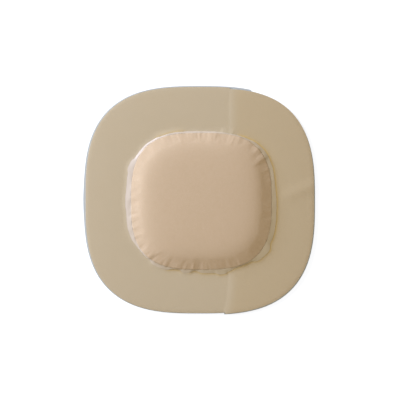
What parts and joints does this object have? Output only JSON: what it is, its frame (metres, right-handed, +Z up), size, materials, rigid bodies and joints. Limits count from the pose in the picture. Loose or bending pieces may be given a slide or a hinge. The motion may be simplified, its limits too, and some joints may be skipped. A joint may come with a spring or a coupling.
{
  "type": "adhesive foam dressing",
  "caption": "Rounded square wound dressing: a bevelled foam pad with a crimped rim in a wide adhesive border, under a clear film and on an overlapped release liner.",
  "frame": {"origin": "centre of the liner's outline, on the surface that the dressing lies on", "axes": "+Z up out of the film side, +X across the crease from the left liner piece to the right one, +Y along the crease"},
  "size_m": [0.127, 0.1252, 0.0052],
  "materials": {
    "film": "clear, slightly milky satin film",
    "foam": "skin-coloured fine foam, matte",
    "gel": "tan translucent adhesive gel, satin",
    "liner": "thin bluish-grey translucent film with a release coat"
  },
  "bodies": {
    "root": {"backing_film": "film", "foam_pad": "foam", "adhesive_border": "gel", "release_liner_left": "liner", "release_liner_right": "liner"}
  },
  "joints": []
}
